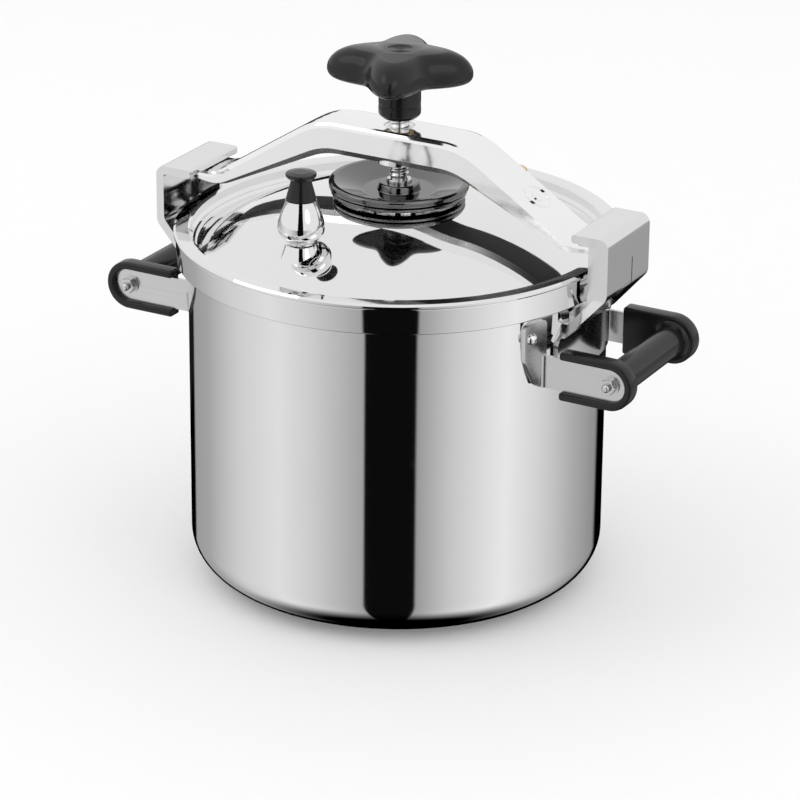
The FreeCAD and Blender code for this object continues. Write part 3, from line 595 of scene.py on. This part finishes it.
class CANNER_OT_finishes(bpy.types.Operator):
    """Give every CAD node that stays in view its finish"""
    bl_idname = "canner.finishes"
    bl_label = "Finishes"

    def execute(self, context):
        s = settings().finish
        steel = plain(s.steel)
        satin = plain(s.strap_steel)
        brass = plain(s.brass)
        black = plain(s.phenolic)
        vent = valve_centre("weight_body")
        valve = valve_centre("safety_pin")
        finishes = {
            "lid_shell": mirror_steel("lid_mirror_steel", steel, s.mirror, 0.0005),
            "base_cap": base_steel("base_turned_steel", satin, 0.22),
            "base_core": turned_metal("core_aluminium", plain(s.aluminium), 0.35, (0, 0), grey(0.6)),
            "strap_right_front": satin_steel("strap_satin_steel", satin, 0.24),
            "strap_rivets": mirror_steel("rivet_steel", steel, 0.10, 0.0, False),
            "handle_bolts": satin_steel("bolt_steel", satin, 0.25, (300, 900, 300)),
            "lug_right": mirror_steel("hook_steel", plain(s.lug_steel), 0.11, 0.0008, False, 0.05),
            "clamp_beam": cast_steel("beam_cast_steel", plain(s.beam_steel), 0.07),
            "dish_foot": mirror_steel("dish_foot_steel", steel, 0.06, 0.0),
            # Painted shade: the dish and its plate get steel darkened to stand for the shade under the beam.
            "pressure_dish": mirror_steel("dish_dark_steel", plain(s.dish_steel), 0.09, 0.0002),
            "vent_pipe": mirror_steel("vent_steel", steel, 0.07, 0.0, False),
            "weight_body": mirror_steel("weight_mirror_steel", steel, 0.03, 0.0, False),
            "weight_cap": phenolic("weight_cap_phenolic", black, s.gloss, 90.0),
            "beam_bush": turned_metal("bush_turned_steel", steel, 0.18, (0, 0), grey(0.55)),
            "screw_collar": turned_metal("collar_turned_steel", steel, 0.14, (0, 0), grey(0.6)),
            "sealing_ring": rubbery("seal_silicone", plain(s.silicone)),
            "safety_housing": turned_metal("safety_brass", brass, 0.2, valve, OLD_BRASS),
            "knob_insert": turned_metal("insert_brass", brass, 0.25, (0, 0), OLD_BRASS),
            "vent_nut": turned_metal("nut_turned_steel", satin, 0.28, vent, grey(0.5)),
            "steam_plate": mirror_steel("steam_plate_steel", plain(s.lug_steel), 0.12, 0.0004),
        }
        like = {
            "strap_right_front": ["strap_right_back", "strap_left_front", "strap_left_back"],
            "handle_bolts": ["handle_nuts", "handle_washers"],
            "lug_right": ["lug_left"],
            "pressure_dish": ["dish_plate"],
            "sealing_ring": ["vent_gasket", "safety_gasket"],
            "vent_nut": ["safety_nut", "anti_clog_cap"],
            "safety_housing": ["safety_pin"],
        }
        for name, material in finishes.items():
            for node in [name] + like.get(name, []):
                node_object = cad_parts[node]
                node_object.data.materials.clear()
                node_object.data.materials.append(material)
        return {"FINISHED"}


class CANNER_OT_pot(bpy.types.Operator):
    """Turn the pot with its widened collar"""
    bl_idname = "canner.pot"
    bl_label = "Pot"

    def execute(self, context):
        s = settings().pot
        low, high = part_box("pot_body")
        collar = high.x
        side = collar - s.step
        shelf = high.z - s.depth - s.slope
        floor = low.z + s.wall
        lip = s.lip
        rows = [(0, low.z, 0), (side, low.z, s.corner), (side, shelf, s.crease),
                (collar, shelf + s.slope, s.crease), (collar, high.z, lip),
                (collar - s.wall, high.z, lip), (collar - s.wall, shelf + s.slope + s.wall, s.crease),
                (side - s.wall, shelf + s.wall, s.crease),
                (side - s.wall, floor, s.corner - s.wall), (0, floor, 0)]
        pot = lathe("pot_turned", rounded(rows), 192)
        smooth(pot, 35)
        f = settings().finish
        settle(pot, "pot", ["pot_body"],
               mirror_steel("pot_mirror_steel", plain(f.steel), f.mirror, 0.0004))
        return {"FINISHED"}


class CANNER_OT_handles(bpy.types.Operator):
    """Model one handle with rounded edges and strap pockets, and mirror it for the other side"""
    bl_idname = "canner.handles"
    bl_label = "Handles"

    def cheek(self, s, inner, centre, half, low, high):
        """One side of the handle: a rounded tongue with a pocket for the strap in its outer face."""
        put_down()
        middle = Vector((centre[0], low, centre[1]))
        bpy.ops.mesh.primitive_circle_add(vertices=64, radius=half, fill_type="NGON",
                                          location=middle, rotation=(math.pi / 2, 0, 0))
        piece = bpy.context.object
        bpy.ops.object.transform_apply(location=True, rotation=True, scale=True)
        edit(piece)
        choose(piece, lambda co: co.x < middle.x - 1e-5)
        bpy.ops.transform.resize(value=(0, 1, 1), center_override=(inner - 2 * s.rim, low, middle.z))
        bpy.ops.mesh.select_mode(type="FACE")
        bpy.ops.mesh.select_all(action="SELECT")
        bpy.ops.mesh.extrude_region_move(TRANSFORM_OT_translate={"value": (0, high - low, 0)})
        bpy.ops.mesh.select_all(action="SELECT")
        bpy.ops.mesh.normals_make_consistent(inside=False)
        choose(piece, lambda co, normal: normal.y < -0.9, "faces")
        bpy.ops.mesh.inset(thickness=s.rim, depth=0)
        bpy.ops.mesh.extrude_region_move(TRANSFORM_OT_translate={"value": (0, s.pocket_depth, 0)})
        bpy.ops.mesh.select_all(action="SELECT")
        bpy.ops.mesh.bisect(plane_co=(inner, 0, 0), plane_no=(1, 0, 0), clear_inner=True, use_fill=True)
        bpy.ops.object.mode_set(mode="OBJECT")
        return piece

    def grip(self, s, centre, reach):
        """The bar between the cheeks, flared at both ends."""
        put_down()
        bpy.ops.mesh.primitive_circle_add(vertices=64, radius=s.grip + s.flare, fill_type="NGON",
                                          location=(centre[0], -reach - MM, centre[1]),
                                          rotation=(math.pi / 2, 0, 0))
        piece = bpy.context.object
        bpy.ops.object.transform_apply(location=True, rotation=True, scale=True)
        edit(piece, "FACE")
        bpy.ops.mesh.select_all(action="SELECT")
        here, size = 0.0, s.grip + s.flare
        steps = [(MM, s.grip + s.flare)]
        for i in range(1, 6):
            turn = i / 5 * math.pi / 2
            steps.append((MM + s.flare * math.sin(turn), s.grip + s.flare * math.cos(turn) ** 2))
        whole = 2 * (reach + MM)
        steps.append((whole / 2 - 6 * MM, s.grip))
        steps += [(whole - a, r) for a, r in reversed(steps)]
        for along, radius in steps:
            bpy.ops.mesh.extrude_region_move(TRANSFORM_OT_translate={"value": (0, along - here, 0)})
            share = radius / size
            bpy.ops.transform.resize(value=(share, 1, share),
                                     center_override=(centre[0], along - reach - MM, centre[1]))
            here, size = along, radius
        bpy.ops.mesh.extrude_region_move(TRANSFORM_OT_translate={"value": (0, whole - here, 0)})
        bpy.ops.mesh.select_all(action="SELECT")
        bpy.ops.mesh.normals_make_consistent(inside=False)
        bpy.ops.object.mode_set(mode="OBJECT")
        return piece

    def execute(self, context):
        s = settings().handle
        low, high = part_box("handle_right")
        half = (high.z - low.z) / 2
        centre = (high.x - half, (high.z + low.z) / 2)
        face = -low.y
        front = self.cheek(s, low.x, centre, half, -face, s.cheek - face)
        back = copy_turned(front, "cheek_back", Matrix.Scale(-1, 4, (0, 1, 0)))
        pick_up(front)
        right = join([front, back], "handle_right_moulding")
        apply_modifier(right, "BEVEL", width=s.edge, segments=4, limit_method="ANGLE",
                       angle_limit=math.radians(40), harden_normals=False)
        bar = self.grip(s, centre, face - s.cheek)
        right = join([right, bar], "handle_right_moulding")
        smooth(right, 40)
        left = copy_turned(right, "handle_left_moulding", Matrix.Scale(-1, 4, (1, 0, 0)))
        f = settings().finish
        material = phenolic("handle_phenolic", plain(f.phenolic), f.gloss)
        settle(right, "pot", ["handle_right"], material)
        settle(left, "pot", ["handle_left"], material)
        return {"FINISHED"}


# The knob's head from its underside to its top: share of its outline, and share of its height.
KNOB_LEVELS = ((0.42, 0.0), (0.70, -0.05), (0.94, -0.03), (1.03, 0.18), (1.02, 0.50), (0.90, 0.84),
               (0.66, 1.04), (0.36, 1.04))


class CANNER_OT_knob(bpy.types.Operator):
    """Model the lobed knob on its hub"""
    bl_idname = "canner.knob"
    bl_label = "Knob"

    def execute(self, context):
        s = settings().knob
        low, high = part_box("knob")
        radius = s.reach
        under = high.z - s.head
        side = (radius + s.waist) / 2
        chord = 2 * side * math.cos(math.pi / (2 * s.lobes))
        tip = (6 * radius - chord) / 4
        valley = (6 * s.waist - chord) / 4
        put_down()
        bpy.ops.mesh.primitive_circle_add(vertices=4 * s.lobes, radius=1.0, fill_type="NGON",
                                          location=(0, 0, under))
        head = bpy.context.object
        head.name = "knob_head"
        bpy.ops.object.transform_apply(location=True, rotation=True, scale=True)
        edit(head)
        step = FULL_TURN / (4 * s.lobes)
        for phase, reach in ((0, tip), (1, side), (2, valley), (3, side)):
            def here(co, phase=phase):
                return abs((math.atan2(co.y, co.x) / step - phase + 2) % 4 - 2) < 0.2
            choose(head, here)
            bpy.ops.transform.resize(value=(reach, reach, 1), center_override=(0, 0, under))
        bpy.ops.mesh.select_mode(type="FACE")
        bpy.ops.mesh.select_all(action="SELECT")
        size, height = KNOB_LEVELS[0][0], 0.0
        bpy.ops.transform.resize(value=(size, size, 1), center_override=(0, 0, under))
        for share, rise in KNOB_LEVELS[1:]:
            move = (0, 0, (rise - height) * s.head)
            bpy.ops.mesh.extrude_region_move(TRANSFORM_OT_translate={"value": move})
            bpy.ops.transform.resize(value=(share / size, share / size, 1),
                                     center_override=(0, 0, under))
            size, height = share, rise
        bpy.ops.mesh.select_all(action="SELECT")
        bpy.ops.mesh.normals_make_consistent(inside=False)
        bpy.ops.object.mode_set(mode="OBJECT")
        apply_modifier(head, "SUBSURF", levels=3, render_levels=3)
        pick_up(head)
        bpy.ops.transform.rotate(value=-s.turn, orient_axis="Z", center_override=(0, 0, 0))
        bpy.ops.object.transform_apply(location=True, rotation=True, scale=True)
        edit(head)
        bpy.ops.mesh.select_all(action="SELECT")
        bpy.ops.mesh.bisect(plane_co=(0, 0, high.z - HAIR), plane_no=(0, 0, 1), clear_outer=True,
                            use_fill=True)
        put_down()
        inner = s.badge + 2 * HAIR
        cut = lathe("badge_seat", [(0, high.z + 3 * MM), (inner, high.z + 3 * MM),
                                   (inner, high.z - 2 * MM), (0, high.z - 2 * MM)], 64)
        apply_modifier(head, "BOOLEAN", operation="DIFFERENCE", object=cut, solver="EXACT")
        bpy.data.objects.remove(cut)
        hub_top = under + s.head * 0.4
        bore_top = under + s.head * 0.55
        groove = s.hub - s.groove
        line = low.z + 9.4 * MM
        rows = [(s.bore, bore_top - 3 * MM), (s.bore, low.z), (s.hub - s.flare, low.z),
                (s.hub, low.z + s.flare), (s.hub, line - 0.4 * MM), (groove, line),
                (groove, line + 0.8 * MM), (s.hub, line + 1.2 * MM), (s.hub, under - 4 * MM),
                (s.hub + s.flare, under + s.flare / 2), (s.hub + s.flare, hub_top)]
        hub = lathe("knob_hub", curved(rows, 0.9 * MM), 96)
        knob = join([head, hub], "knob_moulding")
        smooth(knob, 40)
        f = settings().finish
        settle(knob, "spindle", ["knob"],
               phenolic("knob_phenolic", plain(f.phenolic), f.gloss * 0.8, 18.0))
        return {"FINISHED"}


class CANNER_OT_badge(bpy.types.Operator):
    """Turn the plain ringed disc in the top of the knob"""
    bl_idname = "canner.badge"
    bl_label = "Knob badge"

    def execute(self, context):
        low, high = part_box("knob_badge")
        radius = high.x
        edge = 1.6 * MM
        floor = low.z + 1.1 * MM
        crest = floor + 0.35 * MM
        rows = [(0, low.z), (radius, low.z), (radius, high.z), (radius - edge, high.z),
                (radius - edge - 0.6 * MM, floor)]
        for i in range(4):
            ring = radius - (3.0 + 1.8 * i) * MM
            rows += [(ring, floor), (ring - 0.4 * MM, crest), (ring - 0.9 * MM, crest),
                     (ring - 1.3 * MM, floor)]
        rows += [(0, floor)]
        disc = lathe("knob_badge_disc", curved(rows, 0.15 * MM, 2), 96)
        smooth(disc, 50)
        f = settings().finish
        settle(disc, "spindle", ["knob_badge"],
               phenolic("badge_phenolic", darker(plain(f.phenolic), 1.6), f.gloss * 0.7, 120.0))
        return {"FINISHED"}


class CANNER_OT_screw(bpy.types.Operator):
    """Cut the clamp screw's helical thread, and wind the safety spring"""
    bl_idname = "canner.screw"
    bl_label = "Screw and spring"

    def execute(self, context):
        s = settings().screw
        low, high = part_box("clamp_screw")
        crest = high.x
        root = crest - s.depth
        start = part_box("screw_collar")[1].z - 2 * MM
        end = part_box("knob_insert")[0].z + 4 * MM
        turns = int((end - start) / s.pitch)
        soft = 0.12 * MM
        tooth = [(root, 0.0), (root + soft, 0.10), (crest - soft, 0.30), (crest, 0.36), (crest, 0.50),
                 (crest - soft, 0.56), (root + soft, 0.80), (root, 0.88), (root, 1.0)]
        thread = chain("screw_thread", [(r, 0, start + t * s.pitch) for r, t in tooth])
        put_down()
        apply_modifier(thread, "SCREW", angle=FULL_TURN, screw_offset=s.pitch, iterations=turns, steps=48,
                       render_steps=48, axis="Z", use_merge_vertices=True, merge_threshold=MERGE)
        top = start + turns * s.pitch
        shank = start + s.pitch + MM
        rows = [(0, low.z), (5 * MM, low.z), (root, low.z + 3 * MM), (root, shank), (0, shank)]
        point = lathe("screw_point", curved(rows, 0.8 * MM), 48)
        stub = lathe("screw_stub", [(0, top - MM), (root, top - MM), (root, high.z), (0, high.z)], 48)
        inside = root - HAIR
        core = lathe("screw_core", [(0, start), (inside, start), (inside, top), (0, top)], 48)
        screw = join([thread, point, stub, core], "clamp_screw_threaded")
        smooth(screw, 40)
        f = settings().finish
        settle(screw, "spindle", ["clamp_screw"],
               turned_metal("screw_turned_steel", plain(f.steel), 0.16, (0, 0), grey(0.55)))

        low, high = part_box("safety_spring")
        x, y = valve_centre("safety_spring")
        put_down()
        bpy.ops.mesh.primitive_circle_add(vertices=12, radius=s.wire, fill_type="NOTHING",
                                          location=(s.coil, 0, 0), rotation=(math.pi / 2, 0, 0))
        spring = bpy.context.object
        spring.name = "safety_spring_coil"
        bpy.ops.object.transform_apply(location=True, rotation=True, scale=True)
        rise = (high.z - low.z - 2 * s.wire) / s.turns
        apply_modifier(spring, "SCREW", angle=FULL_TURN, screw_offset=rise, iterations=s.turns, steps=32,
                       render_steps=32, axis="Z", use_merge_vertices=True, merge_threshold=MERGE)
        edit(spring)
        bpy.ops.mesh.select_all(action="SELECT")
        bpy.ops.mesh.fill_holes(sides=0)
        bpy.ops.mesh.normals_make_consistent(inside=False)
        bpy.ops.transform.translate(value=(x, y, low.z + s.wire))
        put_down()
        smooth(spring, 60)
        settle(spring, "lid", ["safety_spring"],
               satin_steel("spring_steel", plain(f.strap_steel), 0.25, (300, 300, 300)))
        return {"FINISHED"}


def shiny_only(panel):
    """Hide a reflection panel from everything but shiny surfaces."""
    panel.visible_camera = False
    panel.visible_diffuse = False
    panel.visible_shadow = False
    panel.visible_transmission = False


def card(name, corners, strength):
    """A flat panel that only shiny surfaces see: bright where it stands for a light, black for a gap."""
    put_down()
    bpy.ops.mesh.primitive_plane_add(size=1)
    panel = bpy.context.object
    panel.name = name
    panel.data.name = name
    for vertex, corner in zip([panel.data.vertices[i] for i in (0, 1, 3, 2)], corners):
        vertex.co = corner
    f = Finish(name + "_panel")
    f.glow(strength)
    panel.data.materials.append(f.material)
    shiny_only(panel)
    return panel


# Angle from the camera's side of the pot, and how bright the table looks there.
TABLE_GLOW = ((-180, 0.0), (-153, 0.0), (-150, 0.36), (-128, 0.42), (-95, 0.72), (-68, 0.86), (-48, 0.72),
              (-19, 0.42), (-17.6, 0.40), (-17.0, 0.004), (9.8, 0.004), (10.4, 0.36), (30, 0.66), (48, 0.84),
              (62, 0.95), (84, 0.76), (112, 0.48), (134, 0.34), (143, 0.30), (148, 0.0), (180, 0.0))
FLOOR_SIZE = 12.0
FLOOR_GAP = 0.3 * MM
TABLE_DROP = 1.5
TABLE_REACH = 40.0
# Name, the two angles it stands between, its two heights, and its brightness.
CARDS = (("gap_front", -16.0, 9.3, -TABLE_DROP, 1.9, 0.004), ("gap_back", 150, 210, -0.6, 0.15, 0.01))
CARD_DISTANCE = 1.9
# Name, place, width, and share of the key light's power.
LIGHTS = (("key_light", (-1.6, -1.2, 1.9), 1.6, 1.0), ("fill_light", (1.9, -0.8, 1.5), 1.4, 0.6))


def table_glow(turn):
    """A wide disc that only shiny surfaces see: the studio's panels and gaps as they stand round the pot,
    with a painted shadow of the pot darkening its middle.
    """
    put_down()
    bpy.ops.mesh.primitive_circle_add(vertices=64, radius=TABLE_REACH, fill_type="NGON",
                                      location=(0, 0, -TABLE_DROP))
    disc = bpy.context.object
    disc.name = "table_glow"
    f = Finish("table_glow_panels")
    spot = f.place(rotation=(0, 0, math.pi / 2 - turn))
    x = f.node("ShaderNodeSeparateXYZ", inputs={0: spot}, output="X")
    y = f.node("ShaderNodeSeparateXYZ", inputs={0: spot}, output="Y")
    share = x.maths("ARCTAN2", y, x) / FULL_TURN + 0.5
    stops = [(angle / 360 + 0.5, level) for angle, level in TABLE_GLOW]
    level = f.node("ShaderNodeValToRGB", {"stops": stops}, {"Fac": share}, output="Color")
    # Painted shadow: the glow is nil within 0.5 m of the middle and full from 1.6 m out, standing for the
    # pot's shadow on the floor as shiny surfaces see it.
    pot_shadow_fade = ((x * x + y * y) ** 0.5).window(0.5, 1.6)
    f.glow(pot_shadow_fade * level.plain())
    disc.data.materials.append(f.material)
    shiny_only(disc)


class CANNER_OT_stage(bpy.types.Operator):
    """Set out the floor, the soft lights, the reflection panels and the camera"""
    bl_idname = "canner.stage"
    bl_label = "Stage"

    def execute(self, context):
        s = settings().stage
        scene = bpy.context.scene
        scene.view_settings.view_transform = "Standard"
        turn, rise, roll = s.turn, s.rise, s.roll
        back = Vector((math.sin(turn) * math.cos(rise), -math.cos(turn) * math.cos(rise), math.sin(rise)))
        right = Vector((math.cos(turn), math.sin(turn), 0))
        up = back.cross(right)
        aim = Vector((0, 0, s.aim)) + right * 2.0 * MM - up * 5.9 * MM
        eye = bpy.data.cameras.new("camera")
        eye.lens = s.lens
        eye.clip_end = 50
        camera = bpy.data.objects.new("camera", eye)
        scene.collection.objects.link(camera)
        leaned = right * math.cos(roll) + up * math.sin(roll)
        upright = up * math.cos(roll) - right * math.sin(roll)
        facing = Matrix((leaned, upright, back)).transposed().to_4x4()
        camera.matrix_world = Matrix.Translation(aim + back * s.distance) @ facing
        scene.camera = camera

        put_down()
        bpy.ops.mesh.primitive_plane_add(size=FLOOR_SIZE, location=(0, 0, -FLOOR_GAP))
        floor = bpy.context.object
        floor.name = "floor"
        f = Finish("floor_paper")
        grain = f.noise(f.place(), 40.0, 3.0)
        shade = f.mix(grain, plain(s.floor), darker(plain(s.floor), 0.985))
        floor.data.materials.append(f.shader(Base_Color=shade, Roughness=0.7, Specular_IOR_Level=0.2,
                                             Normal=f.bump(grain, 0.05, 0.0005)))
        floor.visible_glossy = False

        world = bpy.data.worlds.new("room")
        scene.world = world
        world.use_nodes = True
        room = world.node_tree.nodes["Background"]
        room.inputs["Color"].default_value = (1, 1, 1, 1)
        rays = world.node_tree.nodes.new("ShaderNodeLightPath")
        dim = world.node_tree.nodes.new("ShaderNodeMapRange")
        dim.inputs["To Min"].default_value = s.room
        dim.inputs["To Max"].default_value = s.room * s.sheen
        world.node_tree.links.new(rays.outputs["Is Glossy Ray"], dim.inputs["Value"])
        world.node_tree.links.new(dim.outputs["Result"], room.inputs["Strength"])

        def ground(degrees, height):
            """A point at an angle from the camera's direction, as seen from above."""
            a = turn + math.radians(degrees)
            return Vector((math.sin(a) * CARD_DISTANCE, -math.cos(a) * CARD_DISTANCE, height))

        table_glow(turn)
        for name, first, last, bottom, top, strength in CARDS:
            card(name, [ground(first, bottom), ground(last, bottom), ground(last, top),
                        ground(first, top)], strength)

        for name, place, size, share in LIGHTS:
            lamp = bpy.data.lights.new(name, "AREA")
            lamp.shape = "DISK"
            lamp.size = size
            lamp.energy = s.key * share
            lamp_object = bpy.data.objects.new(name, lamp)
            scene.collection.objects.link(lamp_object)
            lamp_object.location = place
            aim_at = Vector((0, 0, 0.2)) - Vector(place)
            lamp_object.rotation_euler = aim_at.to_track_quat("-Z", "Y").to_euler()
            lamp_object.visible_camera = False
        return {"FINISHED"}


class CANNER_PT_panel(bpy.types.Panel):
    """The pressure canner's pieces and settings"""
    bl_idname = "CANNER_PT_panel"
    bl_label = "Pressure canner"
    bl_space_type = "VIEW_3D"
    bl_region_type = "UI"
    bl_category = "Canner"

    def draw(self, context):
        column = self.layout.column()
        for operator in OPERATORS:
            column.operator(operator.bl_idname)
        for group in ("finish", "pot", "handle", "knob", "screw", "stage"):
            box = self.layout.box()
            owner = getattr(context.scene.canner, group)
            for name in owner.bl_rna.properties.keys():
                if name not in ("rna_type", "name"):
                    box.prop(owner, name)


OPERATORS = (CANNER_OT_stage, CANNER_OT_finishes, CANNER_OT_pot, CANNER_OT_handles, CANNER_OT_knob,
             CANNER_OT_badge, CANNER_OT_screw)
GROUPS = (CannerFinishSettings, CannerPotSettings, CannerHandleSettings, CannerKnobSettings,
          CannerScrewSettings, CannerStageSettings, CannerSettings)


def register():
    for item in GROUPS + OPERATORS + (CANNER_PT_panel,):
        bpy.utils.register_class(item)
    bpy.types.Scene.canner = PointerProperty(type=CannerSettings)


def unregister():
    del bpy.types.Scene.canner
    for item in reversed(GROUPS + OPERATORS + (CANNER_PT_panel,)):
        bpy.utils.unregister_class(item)


def main():
    register()
    bpy.ops.canner.stage()
    bpy.ops.canner.finishes()
    bpy.ops.canner.pot()
    bpy.ops.canner.handles()
    bpy.ops.canner.knob()
    bpy.ops.canner.badge()
    bpy.ops.canner.screw()
    put_down()


if __name__ == "__main__":
    main()
